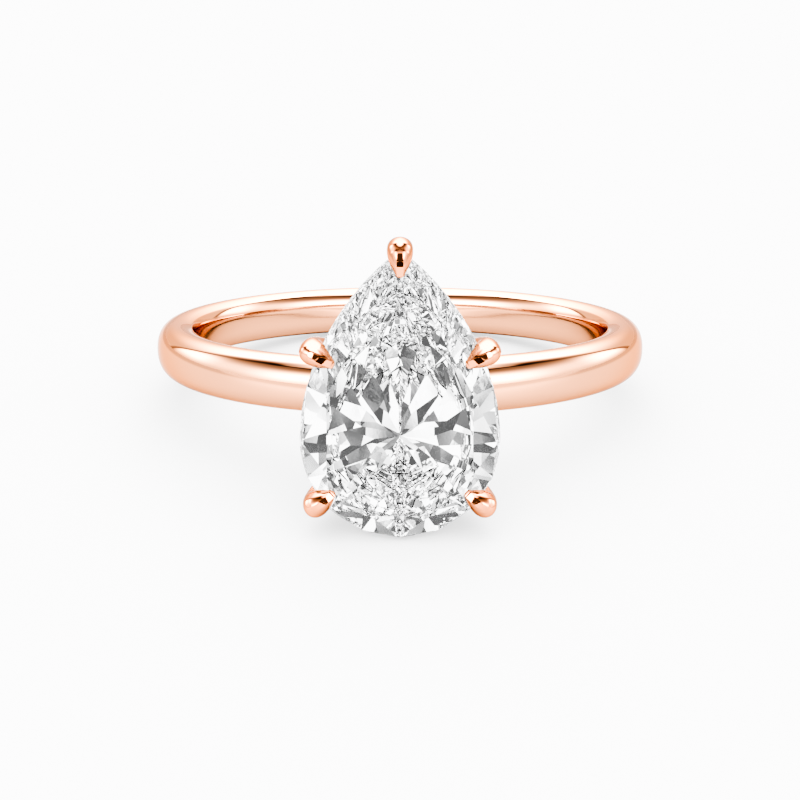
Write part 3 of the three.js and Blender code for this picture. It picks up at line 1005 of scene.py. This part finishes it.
def add_floor():
    """Pale paper. The camera sees it plain, and mirrored rays see shade painted on it."""
    mesh = bpy.data.meshes.new("floor")
    bm = bmesh.new()
    bmesh.ops.create_grid(bm, x_segments=1, y_segments=1, size=FLOOR_HALF_SIZE)
    bm.to_mesh(mesh)
    bm.free()
    floor = add_object("floor", mesh)
    material, shader, graph = principled("floor_paper")
    shader.inputs["Roughness"].default_value = 1
    shader.inputs["Specular IOR Level"].default_value = 0
    shader.inputs["Emission Color"].default_value = (1, 1, 1, 1)

    axes = graph.add("ShaderNodeSeparateXYZ")
    graph.put(graph.add("ShaderNodeTexCoord").outputs["Object"], axes.inputs[0])
    across = graph.math("ABSOLUTE", axes.outputs[0])
    front = graph.times(axes.outputs[1], -1.0)
    away = graph.math("SQRT", graph.plus(graph.times(across, across), graph.times(front, front)))
    # Painted shade, which only mirrored rays see: darker under and behind the ring and far off, and
    # a nearly black patch at the foot of the card.
    near_shade = graph.step(front, *FLOOR_FRONT_SHADE)
    shade = graph.times(near_shade, graph.step(away, *FLOOR_FAR_SHADE))
    card = graph.times(graph.step(front, *FLOOR_CARD_SHADE_FRONT), graph.step(across, *FLOOR_CARD_SHADE_SIDE))
    shade = graph.mix(card, shade, FLOOR_CARD_SHADE_TONE)

    rays = graph.add("ShaderNodeLightPath").outputs
    mirrored = graph.math("MAXIMUM", rays["Is Glossy Ray"], rays["Is Transmission Ray"])
    evenness = graph.times(rays["Is Camera Ray"], FLOOR_EVENNESS)
    paper = graph.times(graph.mix(mirrored, 1.0, shade), FLOOR_ALBEDO)
    paper = graph.times(paper, graph.minus(1.0, evenness))
    graph.put(graph.grey(paper), shader.inputs["Base Color"])
    graph.put(graph.times(evenness, FLOOR_OWN_LIGHT), shader.inputs["Emission Strength"])
    mesh.materials.append(material)
    floor.visible_transmission = False


def gem_light(graph, direction):
    """Broken light for the stone: soft panels and grey gaps between them."""
    noise = graph.noise(direction, **GEM_NOISE, noise_dimensions="4D")
    noise.node.inputs["Roughness"].default_value = GEM_ROUGHNESS
    noise.node.inputs["W"].default_value = GEM_SEED
    share = graph.step(noise, *GEM_EDGES)
    return graph.math("EXPONENT", graph.mix(share, math.log(GEM_DARK), math.log(GEM_BRIGHT)))


def tent_glow(graph, across, back, front, height):
    """The tent as the gold mirrors it: the logarithm of its radiance."""
    # How far inside the seam the direction is.
    rise = graph.minus(height, SEAM_CURL_HEIGHT)
    curl = graph.times(graph.times(rise, rise), graph.step(rise, *SEAM_CURL))
    inside = graph.minus(graph.minus(SEAM_REACH, curl), across)
    above = graph.minus(height, SEAM_FRONT_HEIGHT)
    inside = graph.mix(graph.step(back, *SEAM_TURN_TO_FRONT), inside, above)

    climb = graph.minus(height, graph.times(across, TOP_SLANT))
    top = graph.step(climb, *TOP_GLOW)
    top = graph.math("MINIMUM", top, graph.step(inside, *TOP_GLOW_BY_SEAM))

    peak = graph.plus(graph.step(back, *SIDE_PEAK_BACK), graph.step(front, *SIDE_PEAK_FRONT))
    foot = graph.plus(graph.step(back, *SIDE_FOOT_BACK), graph.step(front, *SIDE_FOOT_FRONT))
    side = graph.mix(graph.step(height, *SIDE_RISE), foot, peak)
    side = graph.mix(graph.step(height, *SIDE_FADE), side, SIDE_FADED_GLOW)

    glow = graph.mix(graph.step(inside, *SEAM_SOFTNESS), side, top)
    seam = graph.bell(inside, graph.step(back, *SEAM_WIDTH))
    glow = graph.minus(glow, graph.times(seam, graph.step(back, *SEAM_DARKNESS)))

    card = graph.times(graph.step(front, *CARD_FRONT), graph.step(across, *CARD_SIDE))
    card = graph.times(card, graph.step(height, *CARD_TOP))
    return graph.mix(card, glow, CARD_GLOW)


def add_world():
    """A light tent, which gold, the stone, the floor and the camera each see in their own way."""
    world = bpy.data.worlds.new("light_tent")
    world.use_nodes = True
    bpy.context.scene.world = world
    graph = Graph(world.node_tree)
    direction = graph.add("ShaderNodeTexCoord").outputs["Generated"]
    axes = graph.add("ShaderNodeSeparateXYZ")
    graph.put(direction, axes.inputs[0])
    across = graph.math("ABSOLUTE", axes.outputs[0])
    back, height = axes.outputs[1], axes.outputs[2]
    front = graph.times(back, -1.0)
    rays = graph.add("ShaderNodeLightPath").outputs

    mirrored = graph.math("EXPONENT", tent_glow(graph, across, back, front, height))
    mirrored = graph.times(mirrored, graph.step(rays["Glossy Depth"], *MIRROR_DIMMING))
    lean = graph.plus(graph.times(height, FLOOR_LIGHT_UP), graph.times(front, FLOOR_LIGHT_FRONT))
    on_floor = graph.times(graph.math("MAXIMUM", lean, 0.0), FLOOR_LIGHT)
    radiance = graph.mix(rays["Is Diffuse Ray"], mirrored, on_floor)
    radiance = graph.mix(rays["Is Transmission Ray"], radiance, gem_light(graph, direction))
    radiance = graph.mix(rays["Is Camera Ray"], radiance, BACKDROP_LIGHT)
    background = world.node_tree.nodes["Background"]
    background.inputs["Color"].default_value = (1, 1, 1, 1)
    graph.put(radiance, background.inputs["Strength"])


def set_render():
    view = bpy.context.scene.view_settings
    view.view_transform = "AgX"
    view.look = "AgX - Very High Contrast"
    cycles = bpy.context.scene.cycles
    cycles.max_bounces = MOST_BOUNCES
    cycles.glossy_bounces = MIRROR_BOUNCES
    cycles.transmission_bounces = MIRROR_BOUNCES
    cycles.caustics_reflective = False
    cycles.caustics_refractive = False


add_camera()
band()
stone()
base()
rail("lower_gallery_rail", LOWER_RAIL)
rail("upper_gallery_rail", UPPER_RAIL)
claws()
add_floor()
add_world()
set_render()
